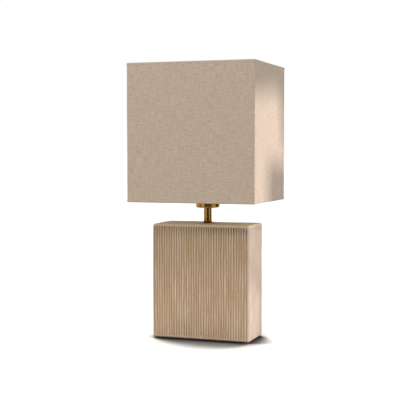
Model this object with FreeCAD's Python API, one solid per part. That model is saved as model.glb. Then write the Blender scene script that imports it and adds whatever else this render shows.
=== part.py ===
import FreeCAD, Part

import math
import os

# Column table lamp: a ribbed stoneware block on felt pads, a short brass neck, a screw-in
# lampholder with its bulb, and a straight box shade of linen on stiff panels.
# Millimetres, +Z up. The origin is on the table, under the axis of the neck.
# The ribbed wide face looks along -Y and the cord inlet is at the back, towards +Y.

# ---- Driving sizes ----------------------------------------------------------------------

# stoneware base
base_width = 163.0
base_depth = 76.0
base_height = 184.5
base_wall = 9.0
base_side_radius = 4.0
base_top_radius = 3.6
base_foot_radius = 3.0
base_inner_radius = 10.0
stem_hole_clearance = 1.0

# combed ribs on both wide faces
rib_pitch = 4.2
rib_height = 0.9
rib_field_drop = 0.2
rib_field_margin = 0.4
rib_field_radius = 5.0

# felt pads under the foot
pad_diameter = 10.0
pad_thickness = 1.5
pad_inset = 8.0

# cord inlet in the back wall
inlet_bore = 6.5
inlet_throat_length = 2.0
inlet_hole_diameter = 10.0
inlet_height = 14.0
bush_bore = 7.6
bush_flange_diameter = 15.0
bush_flange_thickness = 2.5
bush_lip_diameter = 11.6
bush_lip_length = 1.2

# threaded stem and what clamps it under the top of the base
stem_diameter = 10.0
stem_wall = 1.0
stem_end_length = 4.0
nut_width = 14.0
nut_height = 4.0
nut_chamfer = 0.8
washer_diameter = 28.0
steel_washer_thickness = 1.5
rubber_washer_thickness = 1.5

# brass neck: a tube over the stem, on a turned foot
neck_clearance = 0.5
neck_wall = 1.0
neck_length = 20.6
flange_flare = 3.7
flange_lip = 1.2

# lampholder
cup_diameter = 39.0
cup_height = 22.0
cup_wall = 0.9
cup_edge_radius = 1.6
cup_boss_wall = 3.0
block_below_rim = 2.5
block_flange_height = 4.0
block_height = 9.5
block_side_gap = 1.95
shell_overhang = 0.2
shell_wall = 1.1
shell_length = 28.5
shell_lip_width = 2.4
shell_lip_thickness = 1.2
liner_mouth_chamfer = 1.8
sleeve_wall = 0.5
sleeve_below_liner = 2.8
sleeve_floor_bore = 16.0
terminal_gap = 1.75
terminal_screw_diameter = 3.0
terminal_screw_length = 6.0
terminal_head_diameter = 5.5
terminal_head_height = 2.4
wire_hole_diameter = 2.4
earth_screw_diameter = 3.0
earth_head_diameter = 5.0
earth_head_height = 1.8
contact_width = 5.0
contact_thickness = 0.4
contact_rise = 2.5
contact_reach = 7.0

# shade rings on the outer thread of the lampholder
ring_collar_wall = 2.8
ring_flange_width = 5.0
ring_height = 8.0
ring_flange_thickness = 2.5
ring_grips = 16
ring_grip_width = 3.0
ring_grip_depth = 0.9
ring_start = 1.0

# shade
shade_width = 210.0
shade_depth = 171.0
shade_height = 218.0
shade_gap = 36.0
linen_thickness = 0.5
panel_thickness = 0.6
wire_diameter = 3.0
turned_in_hem = 12.0
carrier_border = 4.5
carrier_thickness = 1.5
arm_foot_length = 9.0
arm_bend_radius = 8.0

# bulb: overall length from the tip, and the widest part of the glass
bulb_length = 108.0
bulb_diameter = 60.0
bulb_neck_step = 0.2
bulb_neck_bend = 25.0
bulb_neck_straight = 1.5
glass_thickness = 0.8
cap_diameter = 26.0
cap_thickness = 0.3
cap_length = 18.6
cap_cone_height = 2.2
cap_floor_diameter = 19.6
cap_floor_bore = 14.0
insulator_height = 3.4
insulator_tip_diameter = 10.0
tip_diameter = 9.0
tip_height = 1.5
glass_in_cap = 7.0
inner_steps = 6

# clearances between pieces that slide or screw together
thread_clearance = 0.05
cap_clearance = 0.075
slip_clearance = 0.1
carrier_clearance = 0.6
arm_clearance = 0.8

# ---- Widths and heights worked out from the sizes above ---------------------------------

stem_hole_diameter = stem_diameter + 2 * stem_hole_clearance
stem_bore = stem_diameter - 2 * stem_wall
neck_diameter = stem_diameter + 2 * neck_clearance + 2 * neck_wall
flange_diameter = neck_diameter + 2 * flange_flare
cup_boss_diameter = stem_diameter + 2 * cup_boss_wall
terminal_radius = cup_boss_diameter / 2 + terminal_gap + terminal_head_diameter / 2
shell_diameter = cup_diameter + 2 * shell_overhang
spigot_radius = cup_diameter / 2 - cup_wall - thread_clearance
block_diameter = 2 * (spigot_radius - shell_wall - block_side_gap)
ring_collar_diameter = shell_diameter + 2 * ring_collar_wall
ring_diameter = ring_collar_diameter + 2 * ring_flange_width
carrier_diameter = ring_diameter + 2 * carrier_border
bulb_neck_diameter = cap_diameter + 2 * bulb_neck_step

base_bottom = pad_thickness
base_top = base_bottom + base_height
ceiling = base_top - base_wall
rubber_bottom = ceiling - rubber_washer_thickness
steel_bottom = rubber_bottom - steel_washer_thickness
nut_bottom = steel_bottom - nut_height
stem_bottom = nut_bottom - stem_end_length
flange_height = flange_lip + flange_flare
neck_bottom = base_top + flange_height
cup_bottom = neck_bottom + neck_length
cup_top = cup_bottom + cup_height
block_top = cup_top - block_below_rim
boss_top = block_top - block_height
shell_top = cup_top + shell_length
liner_top = shell_top - shell_lip_thickness
ring_bottom = cup_top + ring_start
carrier_bottom = ring_bottom + ring_height
carrier_top = carrier_bottom + carrier_thickness
shade_bottom = base_top + shade_gap
shade_top = shade_bottom + shade_height
tip_bottom = block_top + contact_rise
tip_top = tip_bottom + tip_height
insulator_top = tip_top + insulator_height
cap_top = insulator_top + cap_thickness + cap_cone_height + cap_length

# rolled edge of the shade: linen wrapped round the wire, and the wire's corner points
roll_radius = wire_diameter / 2 + linen_thickness
wire_half_width = shade_width / 2 - roll_radius
wire_half_depth = shade_depth / 2 - roll_radius
bottom_wire_height = shade_bottom + roll_radius
top_wire_height = shade_top - roll_radius
hem_leg_outer = linen_thickness
panel_outer = hem_leg_outer + panel_thickness
linen_outer = panel_outer + linen_thickness

# how far a cutting tool runs past the face it opens
overcut = 1.0

OUT_FOLDER = "parts"


# ---- Small helpers ----------------------------------------------------------------------

def vec(x, y, z):
    return FreeCAD.Vector(x, y, z)


def arc(start, middle, end):
    return Part.Arc(start, middle, end).toShape()


def cylinder(diameter, bottom, top, x=0.0, y=0.0):
    return Part.makeCylinder(diameter / 2, top - bottom, vec(x, y, bottom))


def tube(outer_diameter, inner_diameter, bottom, top):
    return cylinder(outer_diameter, bottom, top).cut(cylinder(inner_diameter, bottom, top))


def revolved(outline):
    """Solid of revolution about Z from (radius, height) points or ready edges in the XZ plane."""
    if isinstance(outline[0], tuple):
        points = [vec(r, 0, z) for r, z in outline]
        wire = Part.makePolygon(points + points[:1])
    else:
        wire = Part.Wire(outline)
    return Part.Face(wire).revolve(vec(0, 0, 0), vec(0, 0, 1), 360)


def segment(start, end):
    """Straight edge between two (radius, height) points in the XZ plane."""
    return Part.makeLine(vec(start[0], 0, start[1]), vec(end[0], 0, end[1]))


def round_arc(centre, radius, from_deg, to_deg):
    """Arc in the XZ plane between two angles, counted from +X towards +Z."""
    def at(angle):
        turn = math.radians(angle)
        return vec(centre[0] + radius * math.cos(turn), 0, centre[1] + radius * math.sin(turn))
    return arc(at(from_deg), at((from_deg + to_deg) / 2), at(to_deg))


def box(half_x, half_y, bottom, top):
    return Part.makeBox(2 * half_x, 2 * half_y, top - bottom, vec(-half_x, -half_y, bottom))


def upright_edges(solid):
    return [e for e in solid.Edges if e.BoundBox.ZLength > max(e.BoundBox.XLength, e.BoundBox.YLength)]


def rounded_box(half_x, half_y, bottom, top, radius):
    """Block with its four upright edges rounded."""
    block = box(half_x, half_y, bottom, top)
    return block.makeFillet(radius, upright_edges(block)) if radius > 0 else block


def edges_at(solid, height):
    """Edges that lie flat at one height."""
    def lies_flat(edge):
        limits = edge.BoundBox
        return abs(limits.ZMin - height) < 1e-4 and abs(limits.ZMax - height) < 1e-4
    return [e for e in solid.Edges if lies_flat(e)]


def save(name, shape):
    shape.exportStep(os.path.join(OUT_FOLDER, name + ".step"))


# ---- Stoneware base ---------------------------------------------------------------------

def rib_cutter():
    """What the comb takes out of the front face: a shallow field of grooves between convex ribs."""
    groove_depth = rib_field_drop + rib_height
    half_width = base_width / 2 - base_side_radius - rib_field_margin
    low = base_bottom + base_foot_radius + rib_field_margin
    high = base_top - base_top_radius - rib_field_margin
    face = -base_depth / 2
    count = round(2 * half_width / rib_pitch)
    pitch = 2 * half_width / count

    def at(x, depth):
        return vec(x, face + depth, low)

    edges = []
    for i in range(count):
        left = -half_width + i * pitch
        crest = at(left + pitch / 2, rib_field_drop)
        edges.append(arc(at(left, groove_depth), crest, at(left + pitch, groove_depth)))
    edges.append(Part.makeLine(at(half_width, groove_depth), at(half_width, -groove_depth)))
    edges.append(Part.makeLine(at(half_width, -groove_depth), at(-half_width, -groove_depth)))
    edges.append(Part.makeLine(at(-half_width, -groove_depth), at(-half_width, groove_depth)))
    comb = Part.Face(Part.Wire(edges)).extrude(vec(0, 0, high - low))
    field = Part.makeBox(2 * half_width, 4 * groove_depth, high - low, at(-half_width, -2 * groove_depth))
    across = [e for e in field.Edges if e.BoundBox.YLength > groove_depth]
    return comb.common(field.makeFillet(rib_field_radius, across))


def base_body():
    block = rounded_box(base_width / 2, base_depth / 2, base_bottom, base_top, base_side_radius)
    block = block.makeFillet(base_top_radius, edges_at(block, base_top))
    block = block.makeFillet(base_foot_radius, edges_at(block, base_bottom))
    cavity = rounded_box(
        base_width / 2 - base_wall,
        base_depth / 2 - base_wall,
        base_bottom - overcut,
        ceiling,
        base_inner_radius,
    )
    front = rib_cutter()
    back = front.mirror(vec(0, 0, 0), vec(0, 1, 0))
    stem_hole = cylinder(stem_hole_diameter, ceiling - overcut, base_top + overcut)
    inlet_hole = Part.makeCylinder(
        inlet_hole_diameter / 2,
        base_wall + 2 * overcut,
        vec(0, base_depth / 2 - base_wall - overcut, base_bottom + inlet_height),
        vec(0, 1, 0),
    )
    return block.cut([cavity, front, back, stem_hole, inlet_hole])


def foot_pads():
    x = base_width / 2 - pad_inset
    y = base_depth / 2 - pad_inset
    places = [(x, y), (-x, y), (x, -y), (-x, -y)]
    return Part.makeCompound([cylinder(pad_diameter, 0, pad_thickness, px, py) for px, py in places])


def cord_bush():
    """Snap-in bush: a flange on the back with the narrow throat, a barrel in the wall, a lip inside."""
    seat = base_depth / 2
    inner_face = base_depth / 2 - base_wall
    barrel = inlet_hole_diameter / 2 - slip_clearance
    outer_face = seat + bush_flange_thickness
    rim = bush_flange_diameter / 2
    outline = [
        (bush_bore / 2, inner_face - bush_lip_length),
        (barrel, inner_face - bush_lip_length),
        (bush_lip_diameter / 2, inner_face),
        (barrel, inner_face),
        (barrel, seat),
        (rim, seat),
        (rim, seat + bush_flange_thickness / 2),
        (rim - bush_flange_thickness / 2, outer_face),
        (inlet_bore / 2, outer_face),
        (inlet_bore / 2, outer_face - inlet_throat_length),
        (bush_bore / 2, seat),
    ]
    bush = revolved(outline)
    bush.rotate(vec(0, 0, 0), vec(1, 0, 0), -90)
    bush.translate(vec(0, 0, base_bottom + inlet_height))
    return bush


# ---- Stem, neck and what clamps them ----------------------------------------------------

def threaded_stem():
    return tube(stem_diameter, stem_bore, stem_bottom, boss_top)


def lock_nut():
    """Thin hexagon nut, both faces chamfered at the corners."""
    across_corners = nut_width / math.cos(math.radians(30))
    corner = vec(across_corners / 2, 0, 0)
    points = []
    for i in range(6):
        turned = FreeCAD.Rotation(vec(0, 0, 1), 60 * i).multVec(corner)
        points.append(turned.add(vec(0, 0, nut_bottom)))
    hexagon = Part.Face(Part.makePolygon(points + points[:1])).extrude(vec(0, 0, nut_height))
    rim = nut_width / 2 + nut_chamfer / 4
    outline = revolved([
        (0, nut_bottom),
        (rim, nut_bottom),
        (rim + nut_chamfer, nut_bottom + nut_chamfer / 2),
        (rim + nut_chamfer, steel_bottom - nut_chamfer / 2),
        (rim, steel_bottom),
        (0, steel_bottom),
    ])
    bore = cylinder(stem_diameter + 2 * thread_clearance, nut_bottom, steel_bottom)
    return hexagon.common(outline).cut(bore)


def steel_washer():
    return tube(washer_diameter, stem_diameter + 2 * slip_clearance, steel_bottom, rubber_bottom)


def rubber_washer():
    return tube(washer_diameter, stem_diameter + 2 * slip_clearance, rubber_bottom, ceiling)


def neck_flange():
    """Turned brass foot of the neck: a thin lip and a hollow flare up to the tube."""
    bore = stem_diameter / 2 + slip_clearance
    lip_radius = flange_diameter / 2
    lip_top = base_top + flange_lip
    return revolved([
        segment((bore, base_top), (lip_radius, base_top)),
        segment((lip_radius, base_top), (lip_radius, lip_top)),
        round_arc((lip_radius, lip_top + flange_flare), flange_flare, 270, 180),
        segment((neck_diameter / 2, neck_bottom), (bore, neck_bottom)),
        segment((bore, neck_bottom), (bore, base_top)),
    ])


def neck_tube():
    return tube(neck_diameter, neck_diameter - 2 * neck_wall, neck_bottom, cup_bottom)


# ---- Lampholder -------------------------------------------------------------------------

def holder_cup():
    """Drawn brass cup with a flat floor, a rounded lower edge and a threaded boss inside."""
    outer = cup_diameter / 2
    inner = outer - cup_wall
    floor = cup_bottom + cup_wall
    bore = stem_diameter / 2 + thread_clearance
    boss = cup_boss_diameter / 2
    cup = revolved([
        segment((bore, cup_bottom), (outer - cup_edge_radius, cup_bottom)),
        round_arc((outer - cup_edge_radius, cup_bottom + cup_edge_radius), cup_edge_radius, -90, 0),
        segment((outer, cup_bottom + cup_edge_radius), (outer, cup_top)),
        segment((outer, cup_top), (inner, cup_top)),
        segment((inner, cup_top), (inner, floor)),
        segment((inner, floor), (boss, floor)),
        segment((boss, floor), (boss, boss_top)),
        segment((boss, boss_top), (bore, boss_top)),
        segment((bore, boss_top), (bore, cup_bottom)),
    ])
    return cup.cut(earth_screw_hole())


def earth_screw_height():
    return (cup_bottom + cup_wall + boss_top) / 2


def earth_screw_hole():
    hole_diameter = earth_screw_diameter + 2 * slip_clearance
    reach = cup_boss_diameter / 2 + overcut
    return Part.makeCylinder(hole_diameter / 2, reach, vec(0, 0, earth_screw_height()), vec(1, 0, 0))


def earth_screw():
    """Earth terminal: a cheese-head screw in the side of the boss."""
    start = stem_diameter / 2 + 2 * slip_clearance
    seat = cup_boss_diameter / 2
    height = earth_screw_height()
    shank = Part.makeCylinder(earth_screw_diameter / 2, seat - start, vec(start, 0, height), vec(1, 0, 0))
    head = Part.makeCylinder(earth_head_diameter / 2, earth_head_height, vec(seat, 0, height), vec(1, 0, 0))
    return shank.fuse(head).removeSplitter()


def terminal_places():
    return [(0, terminal_radius), (0, -terminal_radius)]


def terminal_block():
    """Ceramic terminal block: it stands on the boss, and the shell clamps its flange."""
    flange_diameter = cup_diameter - 2 * cup_wall - 2 * slip_clearance
    flange = cylinder(flange_diameter, boss_top, boss_top + block_flange_height)
    block = flange.fuse(cylinder(block_diameter, boss_top, block_top)).removeSplitter()
    low = boss_top - overcut
    screw_bore = terminal_screw_diameter + 2 * slip_clearance
    screw_end = boss_top + terminal_screw_length + slip_clearance
    wire_end = boss_top + block_flange_height
    beside = terminal_head_diameter / 2 + wire_hole_diameter / 2 + slip_clearance
    holes = []
    for x, y in terminal_places():
        holes.append(cylinder(screw_bore, low, screw_end, x, y))
        holes.append(cylinder(wire_hole_diameter, low, wire_end, x + beside, y))
    return block.cut(holes)


def terminal_screws():
    screws = []
    for x, y in terminal_places():
        head = cylinder(terminal_head_diameter, boss_top - terminal_head_height, boss_top, x, y)
        shank = cylinder(terminal_screw_diameter, boss_top, boss_top + terminal_screw_length, x, y)
        screws.append(head.fuse(shank).removeSplitter())
    return Part.makeCompound(screws)


def centre_contact():
    """Spring leaf: a foot on the block, a rise, a flat crown under the bulb's tip, a free end."""
    rise = contact_rise - contact_thickness
    crown = insulator_tip_diameter / 6
    lower = [
        (-contact_reach, 0),
        (-contact_reach / 2, 0),
        (-crown, rise),
        (crown, rise),
        (contact_reach / 2, rise / 2),
    ]
    points = [vec(x, -contact_width / 2, block_top + z) for x, z in lower]
    points += [vec(x, -contact_width / 2, block_top + z + contact_thickness) for x, z in reversed(lower)]
    return Part.Face(Part.makePolygon(points + points[:1])).extrude(vec(0, contact_width, 0))


def sleeve_bore():
    return cap_diameter / 2 + cap_clearance


def screw_sleeve():
    """Screw shell of the holder, the side contact: a metal cup with an open floor."""
    bore = sleeve_bore()
    top = liner_top - sleeve_below_liner
    return revolved([
        (sleeve_floor_bore / 2, block_top),
        (bore + sleeve_wall, block_top),
        (bore + sleeve_wall, top),
        (bore, top),
        (bore, block_top + sleeve_wall),
        (sleeve_floor_bore / 2, block_top + sleeve_wall),
    ])


def holder_liner():
    """Ceramic liner between screw sleeve and outer shell: narrow in the spigot, a flared mouth."""
    bore = sleeve_bore() + sleeve_wall + slip_clearance
    outer = shell_diameter / 2 - shell_wall - slip_clearance
    narrow = spigot_radius - shell_wall - slip_clearance
    step = cup_top + shell_wall
    return revolved([
        (bore, block_top),
        (narrow, block_top),
        (narrow, step),
        (outer, step + outer - narrow),
        (outer, liner_top),
        (bore + liner_mouth_chamfer, liner_top),
        (bore, liner_top - liner_mouth_chamfer),
    ])


def holder_shell():
    """Threaded outer shell: a spigot inside the cup, a shoulder on its rim, a lip at the mouth."""
    outer = shell_diameter / 2
    inner = outer - shell_wall
    spigot_inner = spigot_radius - shell_wall
    spigot_bottom = boss_top + block_flange_height
    step = cup_top + shell_wall
    return revolved([
        (spigot_inner, spigot_bottom),
        (spigot_radius, spigot_bottom),
        (spigot_radius, cup_top),
        (outer, cup_top),
        (outer, shell_top),
        (outer - shell_lip_width, shell_top),
        (outer - shell_lip_width, liner_top),
        (inner, liner_top),
        (inner, step + inner - spigot_inner),
        (spigot_inner, step),
    ])


# ---- Shade rings ------------------------------------------------------------------------

def shade_ring(seat, direction):
    """Screw ring whose flange bears on the carrier at the seat height; its collar points away."""
    bore = shell_diameter / 2 + thread_clearance
    collar = ring_collar_diameter / 2
    rim = ring_diameter / 2
    flange_edge = seat + direction * ring_flange_thickness
    end = seat + direction * ring_height
    ring = revolved([
        (bore, seat),
        (rim, seat),
        (rim, flange_edge),
        (collar, flange_edge),
        (collar, end),
        (bore, end),
    ])
    corner = vec(rim - ring_grip_depth, -ring_grip_width / 2, min(seat, flange_edge) - overcut)
    tool_height = ring_flange_thickness + 2 * overcut
    grips = []
    for i in range(ring_grips):
        grip = Part.makeBox(2 * ring_grip_depth, ring_grip_width, tool_height, corner)
        grip.rotate(vec(0, 0, 0), vec(0, 0, 1), 360 * i / ring_grips)
        grips.append(grip)
    return ring.cut(grips)


# ---- Shade ------------------------------------------------------------------------------

def wire_frame(height, diameter):
    """Rectangle of round wire with mitred, welded corners on the wire's corner points."""
    corners = [
        vec(wire_half_width, wire_half_depth, height),
        vec(-wire_half_width, wire_half_depth, height),
        vec(-wire_half_width, -wire_half_depth, height),
        vec(wire_half_width, -wire_half_depth, height),
    ]
    path = Part.makePolygon(corners + corners[:1])
    section = Part.Wire(Part.makeCircle(diameter / 2, corners[0], vec(1, 0, 0)))
    mitred_corners = 1
    return path.makePipeShell([section], True, False, mitred_corners)


def box_sleeve(outer, inner, bottom, top):
    """Upright rectangular tube around the wire's corner points, given its two offsets from them."""
    outside = rounded_box(wire_half_width + outer, wire_half_depth + outer, bottom, top, outer)
    half_x = wire_half_width + inner
    half_y = wire_half_depth + inner
    return outside.cut(rounded_box(half_x, half_y, bottom - overcut, top + overcut, inner))


def shade_linen():
    """One cloth: the outer skin, rolled round both wires and turned in behind the panels."""
    skin = box_sleeve(linen_outer, panel_outer, bottom_wire_height, top_wire_height)
    low_leg = box_sleeve(hem_leg_outer, 0, bottom_wire_height, bottom_wire_height + turned_in_hem)
    high_leg = box_sleeve(hem_leg_outer, 0, top_wire_height - turned_in_hem, top_wire_height)
    rolls = [wire_frame(h, 2 * roll_radius) for h in (bottom_wire_height, top_wire_height)]
    wires = [wire_frame(h, wire_diameter) for h in (bottom_wire_height, top_wire_height)]
    return skin.fuse([low_leg, high_leg] + rolls).cut(wires + [hem_slit(turn) for turn in arm_turns()])


def hem_slit(turn):
    """Slit in the turned-in cloth where an arm passes, from the frame wire to above the arm."""
    width = wire_diameter + 2 * slip_clearance
    reach = wire_half_width if turn % 180 == 0 else wire_half_depth
    length = roll_radius + overcut
    low = bottom_wire_height - wire_diameter / 2 - slip_clearance
    slit = Part.makeBox(length, width, 2 * width, vec(reach - length, -width / 2, low))
    slit.rotate(vec(0, 0, 0), vec(0, 0, 1), turn)
    return slit


def shade_panels():
    """Four stiff flat sheets between the wires, each glued behind one side of the linen."""
    low = bottom_wire_height + roll_radius
    high = top_wire_height - roll_radius
    panels = {}
    for name, sign in (("front", -1), ("back", 1)):
        y = sign * (wire_half_depth + hem_leg_outer)
        near = min(y, y + sign * panel_thickness)
        corner = vec(-wire_half_width, near, low)
        panels[name] = Part.makeBox(2 * wire_half_width, panel_thickness, high - low, corner)
    for name, sign in (("left", -1), ("right", 1)):
        x = sign * (wire_half_width + hem_leg_outer)
        near = min(x, x + sign * panel_thickness)
        corner = vec(near, -wire_half_depth, low)
        panels[name] = Part.makeBox(panel_thickness, 2 * wire_half_depth, high - low, corner)
    return panels


def carrier_ring():
    bore = shell_diameter + 2 * carrier_clearance
    return tube(carrier_diameter, bore, carrier_bottom, carrier_top)


def arm_turns():
    return [0, 90, 180, 270]


def arm(turn, diameter):
    """Bent wire from the bottom frame up to the underside of the carrier ring."""
    reach = wire_half_width if turn % 180 == 0 else wire_half_depth
    low = bottom_wire_height
    high = carrier_bottom - wire_diameter / 2
    inner_end = ring_diameter / 2 + arm_clearance
    weld = reach - wire_diameter / 2
    start = vec(weld, 0, low)
    corner = vec(carrier_diameter / 2 + arm_foot_length, 0, high)
    end = vec(inner_end, 0, high)
    slope = start.sub(corner)
    length = slope.Length
    lean = slope.getAngle(vec(1, 0, 0))
    setback = arm_bend_radius * math.tan(lean / 2)
    sloped = Part.makeCylinder(diameter / 2, length - setback, start, corner.sub(start))
    flat = Part.makeCylinder(diameter / 2, corner.x - setback - end.x, end, vec(1, 0, 0))
    circle = Part.makeCircle(diameter / 2, corner.sub(vec(setback, 0, 0)), vec(1, 0, 0))
    pivot = vec(corner.x - setback, 0, high - arm_bend_radius)
    bend = Part.Face(Part.Wire(circle)).revolve(pivot, vec(0, 1, 0), math.degrees(lean))
    rod = sloped.fuse([bend, flat]).removeSplitter()
    rod.rotate(vec(0, 0, 0), vec(0, 0, 1), turn)
    return rod


def carrier_arms():
    return Part.makeCompound([arm(turn, wire_diameter) for turn in arm_turns()])


# ---- Bulb -------------------------------------------------------------------------------

def bulb_tip():
    return cylinder(tip_diameter, tip_bottom, tip_top)


def bulb_insulator():
    return revolved([
        (0, tip_top),
        (insulator_tip_diameter / 2, tip_top),
        (cap_floor_diameter / 2, insulator_top - insulator_height / 4),
        (cap_floor_diameter / 2, insulator_top),
        (0, insulator_top),
    ])


def bulb_cap():
    """Screw cap: an open floor on the insulator, a cone, and the straight part that screws in."""
    outer = cap_diameter / 2
    inner = outer - cap_thickness
    floor_edge = cap_floor_diameter / 2
    floor_top = insulator_top + cap_thickness
    cone_top = floor_top + cap_cone_height
    return revolved([
        (cap_floor_bore / 2, insulator_top),
        (floor_edge, insulator_top),
        (outer, cone_top - cap_thickness / 2),
        (outer, cap_top),
        (inner, cap_top),
        (inner, cone_top),
        (floor_edge - cap_thickness / 2, floor_top),
        (cap_floor_bore / 2, floor_top),
    ])


def bulb_globe():
    """Opal pear-shaped glass: its neck stands on the cap's rim, with a spigot inside the cap.

    A hollow bend, tangent to both, joins the neck to the round part. The inner face, which the
    opal coat hides, follows them in straight runs.
    """
    crown = tip_bottom + bulb_length
    globe = bulb_diameter / 2
    centre = crown - globe
    neck = bulb_neck_diameter / 2
    rise = centre - cap_top - bulb_neck_straight
    largest_bend = (rise ** 2 - globe ** 2 + neck ** 2) / (2 * (globe - neck))
    bend = min(bulb_neck_bend, largest_bend)
    turn = math.degrees(math.acos((neck + bend) / (globe + bend)))
    bend_start = centre - (globe + bend) * math.sin(math.radians(turn))
    spigot = cap_diameter / 2 - cap_thickness - slip_clearance
    foot = cap_top - glass_in_cap
    outside = [
        segment((0, foot), (spigot, foot)),
        segment((spigot, foot), (spigot, cap_top)),
        segment((spigot, cap_top), (neck, cap_top)),
        segment((neck, cap_top), (neck, bend_start)),
        round_arc((neck + bend, bend_start), bend, 180, 180 - turn),
        round_arc((0, centre), globe, -turn, 90),
        segment((0, crown), (0, foot)),
    ]
    inner_neck = spigot - glass_thickness
    inner_bend = neck + bend - inner_neck
    inner_globe = globe - glass_thickness
    inside = [(0, foot - overcut), (inner_neck, foot - overcut), (inner_neck, bend_start)]
    half_turn = math.radians(turn / 2)
    mid_radius = neck + bend - inner_bend * math.cos(half_turn)
    inside.append((mid_radius, bend_start + inner_bend * math.sin(half_turn)))
    for step in range(inner_steps):
        angle = math.radians(-turn + step * (90 + turn) / inner_steps)
        inside.append((inner_globe * math.cos(angle), centre + inner_globe * math.sin(angle)))
    inside.append((0, crown - glass_thickness))
    return revolved(outside).cut(revolved(inside))


# ---- All pieces -------------------------------------------------------------------------

def build():
    os.makedirs("parts", exist_ok=True)
    pieces = {
        "base_body": base_body(),
        "foot_pads": foot_pads(),
        "cord_bush": cord_bush(),
        "threaded_stem": threaded_stem(),
        "lock_nut": lock_nut(),
        "steel_washer": steel_washer(),
        "rubber_washer": rubber_washer(),
        "neck_flange": neck_flange(),
        "neck_tube": neck_tube(),
        "holder_cup": holder_cup(),
        "earth_screw": earth_screw(),
        "terminal_block": terminal_block(),
        "terminal_screws": terminal_screws(),
        "centre_contact": centre_contact(),
        "screw_sleeve": screw_sleeve(),
        "holder_liner": holder_liner(),
        "holder_shell": holder_shell(),
        "lower_shade_ring": shade_ring(carrier_bottom, -1),
        "upper_shade_ring": shade_ring(carrier_top, 1),
        "carrier_ring": carrier_ring(),
        "carrier_arms": carrier_arms(),
        "bottom_wire": wire_frame(bottom_wire_height, wire_diameter),
        "top_wire": wire_frame(top_wire_height, wire_diameter),
        "shade_linen": shade_linen(),
        "bulb_tip": bulb_tip(),
        "bulb_insulator": bulb_insulator(),
        "bulb_cap": bulb_cap(),
        "bulb_globe": bulb_globe(),
    }
    for side, panel in shade_panels().items():
        pieces["shade_panel_" + side] = panel
    for name, shape in pieces.items():
        save(name, shape)


build()
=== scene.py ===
import math

import bmesh
import bpy
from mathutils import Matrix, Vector, noise


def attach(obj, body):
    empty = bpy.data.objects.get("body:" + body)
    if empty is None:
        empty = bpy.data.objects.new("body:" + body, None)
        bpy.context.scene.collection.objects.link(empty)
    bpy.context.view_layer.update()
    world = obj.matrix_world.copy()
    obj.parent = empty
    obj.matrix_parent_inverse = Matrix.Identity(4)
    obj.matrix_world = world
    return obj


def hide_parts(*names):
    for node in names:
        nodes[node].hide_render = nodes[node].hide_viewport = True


# Column table lamp. Metres, +Z up, the table at Z = 0 and the axis of the neck at X = Y = 0.
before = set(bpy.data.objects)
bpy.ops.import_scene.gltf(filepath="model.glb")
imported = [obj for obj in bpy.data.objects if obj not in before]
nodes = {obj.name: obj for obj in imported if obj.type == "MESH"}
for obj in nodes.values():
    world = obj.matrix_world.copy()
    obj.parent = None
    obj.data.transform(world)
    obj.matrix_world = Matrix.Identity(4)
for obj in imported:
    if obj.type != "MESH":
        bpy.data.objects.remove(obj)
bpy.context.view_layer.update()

# ---- Camera ----
# A long lens a step and a half away, level with the neck, turned so that the combed face and
# the right side both show. The values were solved from the edges of the shade and the base.
camera_turn = math.radians(19.23)
camera_dip = math.radians(3.356)
camera_distance = 1.612
camera_height = 0.3049
camera_offset = 0.0004
camera_data = bpy.data.cameras.new("camera")
camera_data.sensor_width = 36.0
camera_data.lens = 86.27
camera = bpy.data.objects.new("camera", camera_data)
ahead = Vector((-math.sin(camera_turn), math.cos(camera_turn), 0))
aside = Vector((math.cos(camera_turn), math.sin(camera_turn), 0))
camera.location = aside * camera_offset - ahead * camera_distance + Vector((0, 0, camera_height))
camera.rotation_euler = (math.pi / 2 - camera_dip, 0, camera_turn)
bpy.context.scene.collection.objects.link(camera)
bpy.context.scene.camera = camera
bpy.context.scene.view_settings.view_transform = "Standard"


# ---- Studio ----
# A white table without an edge, a white room, a small key lamp low at the right behind flags,
# and a soft fill lamp above the camera's left. Cards, seen only in reflections, draw the bands
# on the brass.
def add(tree, kind, inputs=None, **settings):
    """Adds a node. Each input is a value, a socket, or a node whose first output is taken."""
    made = tree.nodes.new(kind)
    for name, value in settings.items():
        setattr(made, name, value)
    for key, value in (inputs or {}).items():
        if isinstance(value, bpy.types.Node):
            value = value.outputs[0]
        if isinstance(value, bpy.types.NodeSocket):
            tree.links.new(value, made.inputs[key])
        else:
            made.inputs[key].default_value = value
    return made


def colour(code):
    """Linear values of an sRGB hex colour."""
    parts = [int(code[i:i + 2], 16) / 255 for i in (1, 3, 5)]
    linear = [c / 12.92 if c <= 0.04045 else ((c + 0.055) / 1.055) ** 2.4 for c in parts]
    return (*linear, 1.0)


def new_material(name):
    """A material, its tree and its Principled shader."""
    made = bpy.data.materials.new(name)
    made.use_nodes = True
    return made, made.node_tree, made.node_tree.nodes["Principled BSDF"]


def new_piece(name, points, faces, material):
    """A mesh object at the origin with smooth faces."""
    mesh = bpy.data.meshes.new(name)
    mesh.from_pydata(points, [], faces)
    mesh.materials.append(material)
    mesh.shade_smooth()
    made = bpy.data.objects.new(name, mesh)
    bpy.context.scene.collection.objects.link(made)
    return made


def seen_as_backdrop(tree):
    """1 for what the camera sees directly, in a mirror or through glass, else 0."""
    path = add(tree, "ShaderNodeLightPath")
    direct = add(tree, "ShaderNodeMath", {
        0: path.outputs["Is Camera Ray"], 1: path.outputs["Is Glossy Ray"]}, operation="MAXIMUM")
    return add(tree, "ShaderNodeMath", {
        0: direct, 1: path.outputs["Is Transmission Ray"]}, operation="MAXIMUM")


table_half = 60.0
table_gain = 1.8
table_paint, tree, shader = new_material("white_table_laminate")
table_white = add(tree, "ShaderNodeMix", {
    0: seen_as_backdrop(tree), 6: colour("#DDDDDD"), 7: (table_gain, table_gain, table_gain, 1)},
    data_type="RGBA")
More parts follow.
